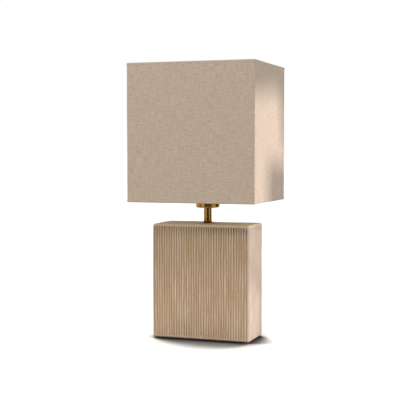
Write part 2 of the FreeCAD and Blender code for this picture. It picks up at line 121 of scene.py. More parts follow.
# painted shadow on the table: deep in front of the block, because the way it looks leans back towards the
# block, and a thin dark painted line all round the foot
shadow_reach, foot_shadow_reach = 0.13, 0.022
lean = Vector((-0.57, 0.65, 0.46))
looked = add(tree, "ShaderNodeCombineXYZ", {0: lean.x, 1: lean.y, 2: lean.z})
near = add(tree, "ShaderNodeAmbientOcclusion", {"Distance": shadow_reach, "Normal": looked}, samples=32)
shadow = add(tree, "ShaderNodeMapRange", {0: near.outputs["AO"], 1: 0.53, 2: 0.77, 3: 0.15, 4: 1.0})
touching = add(tree, "ShaderNodeAmbientOcclusion", {"Distance": foot_shadow_reach}, samples=16)
foot_shadow_line = add(tree, "ShaderNodeMapRange", {0: touching.outputs["AO"], 1: 0.55, 2: 0.97, 3: 0.3, 4: 1.0})
shadow = add(tree, "ShaderNodeMath", {0: shadow, 1: foot_shadow_line}, operation="MULTIPLY")
shaded = add(tree, "ShaderNodeVectorMath", {0: table_white.outputs[2], "Scale": shadow}, operation="SCALE")
diffuse = add(tree, "ShaderNodeBsdfDiffuse", {"Color": shaded})
tree.links.new(diffuse.outputs[0], tree.nodes["Material Output"].inputs["Surface"])
corners = [(-table_half, -table_half, 0), (table_half, -table_half, 0),
           (table_half, table_half, 0), (-table_half, table_half, 0)]
table = new_piece("table", corners, [(0, 1, 2, 3)], table_paint)

room_level = 0.66
world = bpy.data.worlds.new("white_room")
world.use_nodes = True
bpy.context.scene.world = world
tree = world.node_tree
strength = add(tree, "ShaderNodeMix", {0: seen_as_backdrop(tree), 2: room_level, 3: 1.0})
tree.links.new(strength.outputs[0], tree.nodes["Background"].inputs["Strength"])
tree.nodes["Background"].inputs["Color"].default_value = (1, 1, 1, 1)


def add_lamp(name, place, target, width, height, watts, tint):
    """A soft rectangular lamp that points at a target."""
    data = bpy.data.lights.new(name, "AREA")
    data.shape = "RECTANGLE"
    data.size = width
    data.size_y = height
    data.energy = watts
    data.color = colour(tint)[:3]
    made = bpy.data.objects.new(name, data)
    made.location = place
    made.rotation_euler = (Vector(target) - Vector(place)).to_track_quat("-Z", "Y").to_euler()
    bpy.context.scene.collection.objects.link(made)
    return made


def hide(piece, *rays):
    """Keeps a studio piece out of the named kinds of ray."""
    for ray in rays:
        setattr(piece, "visible_" + ray, False)


key_place = Vector((1.15, 0.25, 0.16))
key_lamp = add_lamp("key_lamp", key_place, (0, 0, 0.20), 0.06, 0.04, 11.0, "#FFFAFC")
hide(key_lamp, "glossy")
add_lamp("fill_lamp", (-0.45, -1.35, 1.25), (0, 0, 0.22), 0.7, 0.7, 8.5, "#FFFDFA")


def card_paint(name, code):
    """Fully matt paint for flags and cards."""
    made, tree, shader = new_material(name)
    shader.inputs["Base Color"].default_value = colour(code)
    shader.inputs["Roughness"].default_value = 1.0
    shader.inputs["Specular IOR Level"].default_value = 0.0
    return made


dark_paint = card_paint("dark_brown_card", "#20160C")
brown_paint = card_paint("mid_brown_card", "#7A5E42")
# flags stand between the key lamp and the right sides; each outline is the (Y, Z) places on
# that side of the shade or of the base that the flag keeps the key light off
shade_side, base_side = 0.105, 0.0815
flag_share = 0.48
for flag_name, side_x, outline in (
        ("flag_over_shade", shade_side, [
            (-0.3, 0.387), (-0.05, 0.391), (0.03, 0.401), (0.055, 0.392), (0.068, 0.36), (0.073, 0.30),
            (0.25, 0.30), (0.25, 0.9), (-0.3, 0.9)]),
        ("flag_low_shade", shade_side, [
            (-0.012, 0.19), (-0.016, 0.262), (0.0, 0.292), (0.022, 0.300), (0.03, 0.272), (0.05, 0.285),
            (0.25, 0.275), (0.25, 0.19)]),
        ("flag_base_streak", base_side, [
            (0.040, 0.185), (0.022, 0.172), (-0.036, 0.098), (-0.032, 0.080), (0.0, 0.113), (0.024, 0.150),
            (0.040, 0.160)]),
        ("flag_base_low", base_side, [
            (0.0, 0.096), (0.028, 0.080), (0.024, 0.02), (0.034, -0.02), (0.2, -0.02), (0.2, 0.10),
            (0.045, 0.11)])):
    places = [key_place.lerp(Vector((side_x, y, z)), flag_share) for y, z in outline]
    flag = new_piece(flag_name, places, [tuple(range(len(places)))], dark_paint)
    hide(flag, "camera", "diffuse", "glossy", "transmission")

# cards: degrees round from the camera, and width in metres
card_distance, card_height = 0.9, 0.9
for card_name, card_turn, card_width, paint in (
        ("card_behind_camera", -21, 0.40, dark_paint), ("card_beside_camera", 16, 0.86, brown_paint),
        ("card_left", -68, 0.14, dark_paint), ("card_right", 101, 0.80, dark_paint)):
    turn = camera_turn - math.pi / 2 + math.radians(card_turn)
    out = Vector((math.cos(turn), math.sin(turn), 0))
    along = Vector((-out.y, out.x, 0)) * card_width / 2
    low = out * card_distance
    high = low + Vector((0, 0, card_height))
    places = [low - along, low + along, high + along, high - along]
    card = new_piece(card_name, places, [(0, 1, 2, 3)], paint)
    hide(card, "camera", "diffuse", "transmission", "shadow")


# ---- Stoneware base ----
# A hollow block of sand-coloured stoneware, cast, combed by hand on both wide faces and washed
# with a thin pale slip that the comb's grooves hold less of. Unglazed at the foot.
base_half_x, base_half_y = 0.0815, 0.038
base_bottom, base_top = 0.0015, 0.186
corner_radius, top_radius, foot_radius = 0.004, 0.0036, 0.003
wall, ceiling, cavity_radius = 0.009, 0.177, 0.010
stem_hole_radius = 0.006
inlet_height, inlet_radius = 0.0155, 0.005
rib_count, rib_height, field_drop = 37, 0.0009, 0.0002
field_half_width, field_edge = 0.0771, 0.0784
field_low, field_high, field_radius = 0.0042, 0.1838, 0.005
columns_per_rib, narrow_steps, bend_steps, edge_steps = 8, 14, 6, 5
row_step, end_row_step, end_rows = 0.0020, 0.0006, 9


def base_columns():
    """Stations round the block: the side they are on, and how far along it from -1 to 1."""
    straight = base_half_x - corner_radius
    count = rib_count * columns_per_rib
    wide = [(-field_half_width + 2 * field_half_width * i / count) / straight for i in range(count + 1)]
    wide = [-1.0, *wide, 1.0]
    narrow = [-1 + 2 * i / narrow_steps for i in range(narrow_steps + 1)]
    bend = [i / bend_steps for i in range(1, bend_steps)]
    stations = []
    for side, along in enumerate((wide, narrow, wide, narrow)):
        stations += [(side, t, None) for t in along]
        stations += [(side, 1.0, b) for b in bend]
    return stations


def block_point(station, half_x, half_y, radius):
    """Place of a station on a rounded rectangle; the sides run round from the front, -Y."""
    side, t, bend = station
    long_half, short_half = (half_x, half_y) if side % 2 == 0 else (half_y, half_x)
    along, out = t * (long_half - radius), short_half
    if bend is not None:
        turn = bend * math.pi / 2
        along = long_half - radius + radius * math.sin(turn)
        out = short_half - radius + radius * math.cos(turn)
    return ((along, -out), (out, along), (-along, out), (-out, -along))[side]


def base_rings(stations):
    """Closed loops from the foot up over the top, down the stem hole and back inside the cavity."""
    def shell(inset, z):
        radius = corner_radius - inset
        return [(*block_point(s, base_half_x - inset, base_half_y - inset, radius), z) for s in stations]

    def hollow(z):
        half_x, half_y = base_half_x - wall, base_half_y - wall
        return [(*block_point(s, half_x, half_y, cavity_radius), z) for s in stations]

    def hole(z):
        return [(*(Vector(p[:2]).normalized() * stem_hole_radius), z) for p in top]

    def between(a, b, share):
        return [tuple(Vector(p).lerp(Vector(q), share)) for p, q in zip(a, b)]

    rings = []
    for i in range(edge_steps + 1):
        turn = math.pi / 2 * i / edge_steps
        height = base_bottom + foot_radius * (1 - math.cos(turn))
        rings.append(shell(foot_radius * (1 - math.sin(turn)), height))
    low, high = base_bottom + foot_radius, base_top - top_radius
    heights = [low + end_row_step * i for i in range(1, end_rows)]
    first, last = heights[-1], high - end_row_step * (end_rows - 1)
    count = round((last - first) / row_step)
    heights += [first + (last - first) * i / count for i in range(1, count + 1)]
    heights += [last + end_row_step * i for i in range(1, end_rows - 1)]
    rings += [shell(0, z) for z in heights]
    for i in range(edge_steps + 1):
        turn = math.pi / 2 * i / edge_steps
        rings.append(shell(top_radius * (1 - math.cos(turn)), high + top_radius * math.sin(turn)))
    top = rings[-1]
    rings += [between(top, hole(base_top), share) for share in (0.25, 0.5, 0.75, 0.9, 1.0)]
    rings.append(hole(ceiling))
    rings += [between(hole(ceiling), hollow(ceiling), share) for share in (0.5, 1.0)]
    rings.append(hollow(base_bottom))
    return rings


def skinned(name, rings, material):
    """Faces between loops of points, closed both ways, turned to face outwards."""
    wide = len(rings[0])
    points = [p for ring in rings for p in ring]
    faces = []
    for r in range(len(rings)):
        here, there = r * wide, (r + 1) % len(rings) * wide
        for c in range(wide):
            d = (c + 1) % wide
            faces.append((here + c, here + d, there + d, there + c))
    made = new_piece(name, points, faces, material)
    work = bmesh.new()
    work.from_mesh(made.data)
    if work.calc_volume(signed=True) < 0:
        bmesh.ops.reverse_faces(work, faces=work.faces)
    work.to_mesh(made.data)
    work.free()
    return made


def made_plain(piece):
    """Turns what the piece's modifiers make into its own mesh."""
    graph = bpy.context.evaluated_depsgraph_get()
    mesh = bpy.data.meshes.new_from_object(piece.evaluated_get(graph))
    piece.modifiers.clear()
    piece.data = mesh
    mesh.name = piece.name


def new_geometry_tree(name, sizes):
    """A Geometry Nodes tree with a mesh in and out, and one named input for each size."""
    made = bpy.data.node_groups.new(name, "GeometryNodeTree")
    made.interface.new_socket("Geometry", in_out="INPUT", socket_type="NodeSocketGeometry")
    for size in sizes:
        made.interface.new_socket(size, in_out="INPUT", socket_type="NodeSocketFloat")
    made.interface.new_socket("Material", in_out="INPUT", socket_type="NodeSocketMaterial")
    made.interface.new_socket("Geometry", in_out="OUTPUT", socket_type="NodeSocketGeometry")
    return made, add(made, "NodeGroupInput"), add(made, "NodeGroupOutput")


def give_tree(piece, tree, values):
    """Puts a Geometry Nodes modifier on a piece, its inputs set by the sockets' identifiers."""
    modifier = piece.modifiers.new(tree.name, "NODES")
    modifier.node_group = tree
    for item in tree.interface.items_tree:
        if item.in_out == "INPUT" and item.name in values:
            modifier[item.identifier] = values[item.name]


def combed_ribs():
    """Tree that presses ribs into both wide faces and keeps how deep each point lies."""
    tree, given, result = new_geometry_tree("combed_ribs", [
        "Pitch", "Rib Height", "Field Drop", "Half Width", "Low", "High", "Corner Radius", "Face", "Stray",
        "Unevenness", "Seed"])
    take = given.outputs
    place = add(tree, "GeometryNodeInputPosition")
    xyz = add(tree, "ShaderNodeSeparateXYZ", {0: place})
    x, y, z = xyz.outputs
    side = add(tree, "ShaderNodeMath", {0: y}, operation="SIGN")
    # the comb strays sideways over some 60 mm of its travel, and neighbours stray differently
    stray_place = add(tree, "ShaderNodeVectorMath", {0: place, 1: (110, 200, 17)}, operation="MULTIPLY")
    stray_noise = add(tree, "ShaderNodeTexNoise", {
        "Vector": stray_place, "W": take["Seed"], "Scale": 1.0, "Detail": 1.0},
                      noise_dimensions="4D")
    stray = add(tree, "ShaderNodeMapRange", {0: stray_noise, 1: 0.3, 2: 0.7, 3: -1.0, 4: 1.0}, clamp=False)
    shifted = add(tree, "ShaderNodeMath", {0: stray, 1: take["Stray"], 2: x}, operation="MULTIPLY_ADD")
    turns = add(tree, "ShaderNodeMath", {0: shifted, 1: take["Pitch"]}, operation="DIVIDE")
    half_turned = add(tree, "ShaderNodeMath", {0: turns, 1: 0.5})
    phase = add(tree, "ShaderNodeMath", {0: half_turned}, operation="FRACT")
    centred = add(tree, "ShaderNodeMath", {0: phase, 1: 0.5}, operation="SUBTRACT")
    folded = add(tree, "ShaderNodeMath", {0: centred}, operation="ABSOLUTE")
    across = add(tree, "ShaderNodeMath", {0: folded, 1: 2.0}, operation="MULTIPLY")
    curve = add(tree, "ShaderNodeMath", {0: across, 1: 2.0}, operation="POWER")
    # pressure of the hand: ribs differ in depth by about a third
    press_place = add(tree, "ShaderNodeVectorMath", {0: place, 1: (150, 90, 9)}, operation="MULTIPLY")
    press_noise = add(tree, "ShaderNodeTexNoise", {
        "Vector": press_place, "W": take["Seed"], "Scale": 1.0, "Detail": 2.0},
                      noise_dimensions="4D")
    press = add(tree, "ShaderNodeMapRange", {0: press_noise, 1: 0.3, 2: 0.7, 3: 0.7, 4: 1.15})
    height = add(tree, "ShaderNodeMath", {0: take["Rib Height"], 1: press}, operation="MULTIPLY")
    depth = add(tree, "ShaderNodeMath", {
        0: curve, 1: height, 2: take["Field Drop"]}, operation="MULTIPLY_ADD")
    # the field: a rounded rectangle whose upper and lower ends are ragged from groove to groove
    ragged_place = add(tree, "ShaderNodeVectorMath", {0: place, 1: (240, 60, 0)}, operation="MULTIPLY")
    ragged_noise = add(tree, "ShaderNodeTexNoise", {
        "Vector": ragged_place, "W": take["Seed"], "Scale": 1.0},
                       noise_dimensions="4D")
    ragged = add(tree, "ShaderNodeMapRange", {0: ragged_noise, 1: 0.35, 2: 0.65, 3: 0.0, 4: 0.0016})
    middle = add(tree, "ShaderNodeMath", {0: take["Low"], 1: take["High"]})
    middle = add(tree, "ShaderNodeMath", {0: middle, 1: 0.5}, operation="MULTIPLY")
    reach = add(tree, "ShaderNodeMath", {0: take["High"], 1: middle}, operation="SUBTRACT")
    reach = add(tree, "ShaderNodeMath", {0: reach, 1: take["Corner Radius"]}, operation="SUBTRACT")
    reach = add(tree, "ShaderNodeMath", {0: reach, 1: ragged}, operation="SUBTRACT")
    straight = add(tree, "ShaderNodeMath", {
        0: take["Half Width"], 1: take["Corner Radius"]}, operation="SUBTRACT")
    off_x = add(tree, "ShaderNodeMath", {0: x}, operation="ABSOLUTE")
    off_x = add(tree, "ShaderNodeMath", {0: off_x, 1: straight}, operation="SUBTRACT")
    off_z = add(tree, "ShaderNodeMath", {0: z, 1: middle}, operation="SUBTRACT")
    off_z = add(tree, "ShaderNodeMath", {0: off_z}, operation="ABSOLUTE")
    off_z = add(tree, "ShaderNodeMath", {0: off_z, 1: reach}, operation="SUBTRACT")
    over_x = add(tree, "ShaderNodeMath", {0: off_x, 1: 0.0}, operation="MAXIMUM")
    over_z = add(tree, "ShaderNodeMath", {0: off_z, 1: 0.0}, operation="MAXIMUM")
    over = add(tree, "ShaderNodeCombineXYZ", {0: over_x, 1: over_z})
    outside = add(tree, "ShaderNodeVectorMath", {0: over}, operation="LENGTH")
    larger = add(tree, "ShaderNodeMath", {0: off_x, 1: off_z}, operation="MAXIMUM")
    within = add(tree, "ShaderNodeMath", {0: larger, 1: 0.0}, operation="MINIMUM")
    edge = add(tree, "ShaderNodeMath", {0: outside.outputs["Value"], 1: within})
    edge = add(tree, "ShaderNodeMath", {0: take["Corner Radius"], 1: edge}, operation="SUBTRACT")
    field = add(tree, "ShaderNodeMapRange", {
        0: edge, 1: 0.0, 2: 0.0011, 3: 0.0, 4: 1.0}, interpolation_type="SMOOTHSTEP")
    off_y = add(tree, "ShaderNodeMath", {0: y}, operation="ABSOLUTE")
    on_face = add(tree, "ShaderNodeMath", {0: off_y, 1: take["Face"]}, operation="GREATER_THAN")
    field = add(tree, "ShaderNodeMath", {0: field, 1: on_face}, operation="MULTIPLY")
    pressed = add(tree, "ShaderNodeMath", {0: depth, 1: field}, operation="MULTIPLY")
    inward = add(tree, "ShaderNodeMath", {0: pressed, 1: side}, operation="MULTIPLY")
    inward = add(tree, "ShaderNodeMath", {0: inward, 1: -1.0}, operation="MULTIPLY")
    step = add(tree, "ShaderNodeCombineXYZ", {1: inward})
    # slow unevenness of the cast wall, only on the outer skin
    skin = add(tree, "GeometryNodeInputNamedAttribute", {"Name": "skin"}, data_type="FLOAT")
    slow = add(tree, "ShaderNodeTexNoise", {
        "Vector": place, "W": take["Seed"], "Scale": 11.0, "Detail": 2.0},
               noise_dimensions="4D")
    swell = add(tree, "ShaderNodeMapRange", {0: slow, 1: 0.3, 2: 0.7, 3: -1.0, 4: 1.0}, clamp=False)
    swell = add(tree, "ShaderNodeMath", {0: swell, 1: take["Unevenness"]}, operation="MULTIPLY")
    swell = add(tree, "ShaderNodeMath", {0: swell, 1: skin}, operation="MULTIPLY")
    normal = add(tree, "GeometryNodeInputNormal")
    bulge = add(tree, "ShaderNodeVectorMath", {0: normal, "Scale": swell}, operation="SCALE")
    offset = add(tree, "ShaderNodeVectorMath", {0: step, 1: bulge})
    groove = add(tree, "ShaderNodeMath", {0: curve, 1: field}, operation="MULTIPLY")
    kept = add(tree, "GeometryNodeStoreNamedAttribute", {
        "Geometry": take["Geometry"], "Name": "groove", "Value": groove}, data_type="FLOAT", domain="POINT")
    kept = add(tree, "GeometryNodeStoreNamedAttribute", {
        "Geometry": kept, "Name": "combed", "Value": field}, data_type="FLOAT", domain="POINT")
    moved = add(tree, "GeometryNodeSetPosition", {"Geometry": kept, "Offset": offset})
    real = add(tree, "GeometryNodeRealizeInstances", {"Geometry": moved})
    painted = add(tree, "GeometryNodeSetMaterial", {"Geometry": real, "Material": take["Material"]})
    tree.links.new(painted.outputs[0], result.inputs[0])
    return tree


def grain(tree, size, stretch=(1, 1, 1), detail=2.0):
    """Noise whose features are about `size` metres across, longer where `stretch` is over 1."""
    place = add(tree, "ShaderNodeTexCoord")
    scaled = add(tree, "ShaderNodeVectorMath", {
        0: place.outputs["Object"], 1: tuple(1 / (size * s) for s in stretch)}, operation="MULTIPLY")
    return add(tree, "ShaderNodeTexNoise", {"Vector": scaled, "Scale": 1.0, "Detail": detail})


def blended(tree, share, low, high):
    """Colour between two: hex codes, or sockets."""
    ends = [colour(c) if isinstance(c, str) else c for c in (low, high)]
    return add(tree, "ShaderNodeMix", {0: share, 6: ends[0], 7: ends[1]}, data_type="RGBA").outputs[2]


def bumped(tree, shader, height, depth):
    """Relief of `depth` metres on a shader's surface."""
    bump = add(tree, "ShaderNodeBump", {"Height": height, "Distance": depth, "Strength": 1.0})
    tree.links.new(bump.outputs[0], shader.inputs["Normal"])


# Unglazed combed stoneware: matt, pale slip on the crests, browner clay in the grooves, small
# light flecks of grog, and a warm line of bare fired clay round the foot.
stoneware, tree, shader = new_material("slip_washed_stoneware")
groove = add(tree, "ShaderNodeAttribute", attribute_name="groove")
combed = add(tree, "ShaderNodeAttribute", attribute_name="combed")
mottle = add(tree, "ShaderNodeMapRange", {0: grain(tree, 0.022, (1, 1, 2.2), 4.0), 1: 0.3, 2: 0.7})
plain = blended(tree, mottle, "#AF9B89", "#C1AE9C")
crest = blended(tree, mottle, "#CEB99F", "#E0D0BA")
streak = add(tree, "ShaderNodeMapRange", {0: grain(tree, 0.0042, (1, 1, 14), 2.0), 1: 0.35, 2: 0.65})
crest = blended(tree, streak, crest, "#C2A583")
deep = add(tree, "ShaderNodeMapRange", {0: groove.outputs["Fac"], 1: 0.02, 2: 0.55})
ribbed = blended(tree, deep, crest, "#AC8B69")
place = add(tree, "ShaderNodeTexCoord")
across, _, height = add(tree, "ShaderNodeSeparateXYZ", {0: place.outputs["Object"]}).outputs
# painted shade in the upper ends of the grooves, the rounded pits under the top edge, stronger towards the
# right
painted_pit_shade = add(tree, "ShaderNodeMapRange", {0: height, 1: 0.168, 2: 0.180})
painted_pit_shade = add(tree, "ShaderNodeMath", {0: painted_pit_shade, 1: groove.outputs["Fac"]}, operation="MULTIPLY")
pit_shade_rightward = add(tree, "ShaderNodeMapRange", {0: across, 1: -0.02, 2: 0.05, 3: 0.45, 4: 1.0})
painted_pit_shade = add(tree, "ShaderNodeMath", {0: painted_pit_shade, 1: pit_shade_rightward}, operation="MULTIPLY")
ribbed = blended(tree, painted_pit_shade, ribbed, "#40290F")
body = blended(tree, combed.outputs["Fac"], plain, ribbed)
# flecks of 1 to 2 mm, drawn a little coarser than the grog so that they show
fleck = add(tree, "ShaderNodeMapRange", {
    0: grain(tree, 0.0018, (1, 1, 2.6), 1.0), 1: 0.66, 2: 0.76, 3: 0.0, 4: 0.45})
body = blended(tree, fleck, body, "#E8DCC8")
pit = add(tree, "ShaderNodeMapRange", {
    0: grain(tree, 0.0035, (1, 1, 1.6), 1.0), 1: 0.30, 2: 0.22, 3: 0.0, 4: 0.45})
body = blended(tree, pit, body, "#7E6046")
# painted shade and light: the body is darker towards the top, under the shade overhead, and lighter near
# the table
painted_shade_by_height = add(tree, "ShaderNodeMapRange", {0: height, 1: 0.0, 2: 0.18, 3: 1.25, 4: 0.80})
body = add(tree, "ShaderNodeVectorMath", {0: body, "Scale": painted_shade_by_height}, operation="SCALE").outputs[0]
# painted light: the level top is made paler and warmer
painted_top_light = add(tree, "ShaderNodeMapRange", {0: height, 1: 0.1815, 2: 0.1855})
body = blended(tree, painted_top_light, body, "#E2C6A4")
bare = add(tree, "ShaderNodeMapRange", {0: height, 1: 0.0042, 2: 0.0026})
body = blended(tree, bare, body, "#BE8A5F")
tree.links.new(body, shader.inputs["Base Color"])
shader.inputs["Roughness"].default_value = 0.72
shader.inputs["Specular IOR Level"].default_value = 0.35
bumped(tree, shader, grain(tree, 0.0009, detail=3.0), 0.00012)

base = skinned("base_body_combed", base_rings(base_columns()), stoneware)
# how far each point may swell: not inside, nor at the foot, nor where the flange sits
skin_depth, foot_fade, flange_reach, flange_fade = 0.0045, 0.008, 0.016, 0.014
skin_share = base.data.attributes.new("skin", "FLOAT", "POINT")
for vertex, item in zip(base.data.vertices, skin_share.data):
    px, py, pz = vertex.co
    on_skin = max(abs(px) - base_half_x, abs(py) - base_half_y, pz - base_top) > -skin_depth
    from_foot = min(1.0, max(0.0, (pz - base_bottom) / foot_fade))
    from_stem = min(1.0, max(0.0, (math.hypot(px, py) - flange_reach) / flange_fade))
    share = from_foot * (from_stem if pz > ceiling else 1.0)
    item.value = share if on_skin and pz > base_bottom else 0.0
drill_sides, drill_from, drill_to = 32, 0.026, 0.042
drill_points = []
for y in (drill_from, drill_to):
    for i in range(drill_sides):
        turn = math.tau * i / drill_sides
        z = inlet_height - inlet_radius * math.sin(turn)
        drill_points.append((inlet_radius * math.cos(turn), y, z))
drill_faces = [tuple(range(drill_sides - 1, -1, -1)), tuple(range(drill_sides, 2 * drill_sides))]
for i in range(drill_sides):
    after = (i + 1) % drill_sides
    drill_faces.append((i, after, after + drill_sides, i + drill_sides))
drill = new_piece("drill", drill_points, drill_faces, stoneware)
bored = base.modifiers.new("inlet_hole", "BOOLEAN")
bored.operation = "DIFFERENCE"
bored.object = drill
made_plain(base)
bpy.data.objects.remove(drill)
face_slack = 0.0004
give_tree(base, combed_ribs(), {
    "Pitch": 2 * field_half_width / rib_count, "Rib Height": rib_height, "Field Drop": field_drop,
    "Half Width": field_edge, "Low": field_low, "High": field_high, "Corner Radius": field_radius,
    "Face": base_half_y - face_slack, "Stray": 0.0006, "Unevenness": 0.0005, "Seed": 7.0,
    "Material": stoneware})
made_plain(base)
base.data.shade_smooth()
base.data.set_sharp_from_angle(angle=math.radians(45))
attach(base, "base")
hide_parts("base_body")


# ---- Felt pads ----
# Four discs of pressed brown wool felt, glued under the corners of the foot.
def give_material(names, material):
    """Puts a material on CAD nodes, whose shapes stay."""
    for name in names:
        for held in nodes[name].material_slots:
            held.material = material


# Pressed wool felt: fully matt, fuzzy, a mix of brown and grey fibres a few tenths long.
felt, tree, shader = new_material("pressed_wool_felt")
fibres = grain(tree, 0.0006, (1, 1, 0.4), 5.0)
tone = blended(tree, fibres, "#4A3A2E", "#7A6553")
tree.links.new(tone, shader.inputs["Base Color"])
shader.inputs["Roughness"].default_value = 1.0
shader.inputs["Sheen Weight"].default_value = 0.3
bumped(tree, shader, fibres, 0.0002)
give_material(["foot_pads"], felt)


# ---- Cord bush ----
# The snap-in bush that lines the hole low in the back wall: dark brown moulded polypropylene
# with a flange outside and a lip that holds it inside.
polypropylene, tree, shader = new_material("dark_brown_polypropylene")
haze = grain(tree, 0.004, detail=3.0)
tone = blended(tree, haze, "#2A211B", "#352A22")
tree.links.new(tone, shader.inputs["Base Color"])
rough = add(tree, "ShaderNodeMapRange", {0: haze, 3: 0.38, 4: 0.52})
tree.links.new(rough.outputs[0], shader.inputs["Roughness"])
bumped(tree, shader, grain(tree, 0.0005), 0.00003)
give_material(["cord_bush"], polypropylene)


# ---- Stem, nut and washers ----
# The zinc-plated hollow threaded rod that ties the lampholder to the block, with the hexagon
# nut, steel washer and rubber washer that clamp it under the top.
# Zinc plate: bright, slightly milky grey, with faint turning marks.
zinc, tree, shader = new_material("zinc_plated_steel")
marks = grain(tree, 0.0004, (12, 12, 1), 3.0)
tone = blended(tree, grain(tree, 0.006, detail=4.0), "#9C9C98", "#BDBDB9")
tree.links.new(tone, shader.inputs["Base Color"])
shader.inputs["Metallic"].default_value = 1.0
rough = add(tree, "ShaderNodeMapRange", {0: marks, 3: 0.28, 4: 0.48})
tree.links.new(rough.outputs[0], shader.inputs["Roughness"])
bumped(tree, shader, marks, 0.00002)
give_material(["threaded_stem", "lock_nut", "steel_washer"], zinc)

# Moulded black rubber: matt, with a bloom that greys it in patches.
rubber, tree, shader = new_material("moulded_black_rubber")
tone = blended(tree, grain(tree, 0.005, detail=5.0), "#161514", "#2B2927")
tree.links.new(tone, shader.inputs["Base Color"])
shader.inputs["Roughness"].default_value = 0.8
bumped(tree, shader, grain(tree, 0.0006), 0.00004)
give_material(["rubber_washer"], rubber)


# ---- Brass neck and cup ----
# Flange, tube and cup are turned and drawn brass, polished, darkened and lacquered, so that
# bright parts stay golden and whatever reflects dark goes deep brown.
# Antique brass: metallic, smooth, with faint fine turning lines and small tarnish clouds.
antique_brass, tree, shader = new_material("antique_lacquered_brass")
clouds = add(tree, "ShaderNodeMapRange", {0: grain(tree, 0.007, (1, 1, 1.5), 4.0), 1: 0.3, 2: 0.75})
tarnished = blended(tree, clouds, "#A8854A", "#7A5A2E")
tree.links.new(tarnished, shader.inputs["Base Color"])
shader.inputs["Metallic"].default_value = 1.0
rough = add(tree, "ShaderNodeMapRange", {0: clouds, 3: 0.17, 4: 0.27})
tree.links.new(rough.outputs[0], shader.inputs["Roughness"])
bumped(tree, shader, grain(tree, 0.0005, (30, 30, 1), 2.0), 0.00001)
give_material(["neck_flange", "neck_tube", "holder_cup"], antique_brass)
give_material(["lower_shade_ring", "upper_shade_ring"], antique_brass)


# ---- Lampholder ----
# Ceramic terminal block and liner, plain brass screws, spring contact and screw sleeve, and
# the threaded outer shell that carries the shade rings.
# Steatite: unglazed pressed ceramic, warm white and dry.
steatite, tree, shader = new_material("pressed_steatite")
tone = blended(tree, grain(tree, 0.003, detail=5.0), "#E2DCD0", "#F0ECE3")
tree.links.new(tone, shader.inputs["Base Color"])
shader.inputs["Roughness"].default_value = 0.55
bumped(tree, shader, grain(tree, 0.0007), 0.00003)
give_material(["terminal_block", "holder_liner"], steatite)

# Plain brass: yellow, lightly scratched by handling.
plain_brass, tree, shader = new_material("plain_rolled_brass")
scratches = grain(tree, 0.0005, (1, 9, 4), 4.0)
tone = blended(tree, scratches, "#C9A65E", "#DDBD78")
tree.links.new(tone, shader.inputs["Base Color"])
shader.inputs["Metallic"].default_value = 1.0
rough = add(tree, "ShaderNodeMapRange", {0: scratches, 3: 0.2, 4: 0.36})
tree.links.new(rough.outputs[0], shader.inputs["Roughness"])
give_material(["earth_screw", "terminal_screws", "centre_contact", "screw_sleeve", "bulb_tip"], plain_brass)


def thread_cut():
    """Tree that cuts a rounded screw thread inwards between two heights of a turned piece."""
    tree, given, result = new_geometry_tree("thread_cut", ["Lead", "Depth", "Low", "High", "Least Radius"])
    take = given.outputs
    place = add(tree, "GeometryNodeInputPosition")
    xyz = add(tree, "ShaderNodeSeparateXYZ", {0: place})
    x, y, z = xyz.outputs
    turn = add(tree, "ShaderNodeMath", {0: y, 1: x}, operation="ARCTAN2")
    climbed = add(tree, "ShaderNodeMath", {0: z, 1: take["Lead"]}, operation="DIVIDE")
    climbed = add(tree, "ShaderNodeMath", {0: climbed, 1: math.tau}, operation="MULTIPLY")
    wave = add(tree, "ShaderNodeMath", {0: climbed, 1: turn}, operation="SUBTRACT")
    wave = add(tree, "ShaderNodeMath", {0: wave}, operation="COSINE")
    wave = add(tree, "ShaderNodeMapRange", {0: wave, 1: -1.0, 2: 1.0, 3: 1.0, 4: 0.0})
    after = add(tree, "ShaderNodeMath", {0: z, 1: take["Low"]}, operation="SUBTRACT")
    before = add(tree, "ShaderNodeMath", {0: take["High"], 1: z}, operation="SUBTRACT")
    inside = add(tree, "ShaderNodeMath", {0: after, 1: before}, operation="MINIMUM")
    share = add(tree, "ShaderNodeMath", {0: inside, 1: take["Lead"]}, operation="DIVIDE")
    share = add(tree, "ShaderNodeMapRange", {0: share, 1: 0.0, 2: 0.4})
    flat = add(tree, "ShaderNodeCombineXYZ", {0: x, 1: y})
    radius = add(tree, "ShaderNodeVectorMath", {0: flat}, operation="LENGTH")
    outer = add(tree, "ShaderNodeMath", {
        0: radius.outputs["Value"], 1: take["Least Radius"]}, operation="GREATER_THAN")
    depth = add(tree, "ShaderNodeMath", {0: wave, 1: share}, operation="MULTIPLY")
    depth = add(tree, "ShaderNodeMath", {0: depth, 1: outer}, operation="MULTIPLY")
    depth = add(tree, "ShaderNodeMath", {0: depth, 1: take["Depth"]}, operation="MULTIPLY")
    depth = add(tree, "ShaderNodeMath", {0: depth, 1: -1.0}, operation="MULTIPLY")
    out = add(tree, "ShaderNodeVectorMath", {0: flat}, operation="NORMALIZE")
    offset = add(tree, "ShaderNodeVectorMath", {0: out, "Scale": depth}, operation="SCALE")
    moved = add(tree, "GeometryNodeSetPosition", {"Geometry": take["Geometry"], "Offset": offset})
    real = add(tree, "GeometryNodeRealizeInstances", {"Geometry": moved})
    painted = add(tree, "GeometryNodeSetMaterial", {"Geometry": real, "Material": take["Material"]})
    tree.links.new(painted.outputs[0], result.inputs[0])
    return tree


def turned(name, outline, columns, step, material):
    """A ring turned from a closed (radius, height) outline, its long walls in rows `step` high."""
    points = []
    for (r0, z0), (r1, z1) in zip(outline, outline[1:] + outline[:1]):
        rows = max(1, math.ceil(abs(z1 - z0) / step))
        points += [(r0 + (r1 - r0) * i / rows, z0 + (z1 - z0) * i / rows) for i in range(rows)]
    rings = []
    for r, z in points:
        rings.append([(r * math.cos(math.tau * c / columns), r * math.sin(math.tau * c / columns), z)
                      for c in range(columns)])
    return skinned(name, rings, material)


thread_tree = thread_cut()


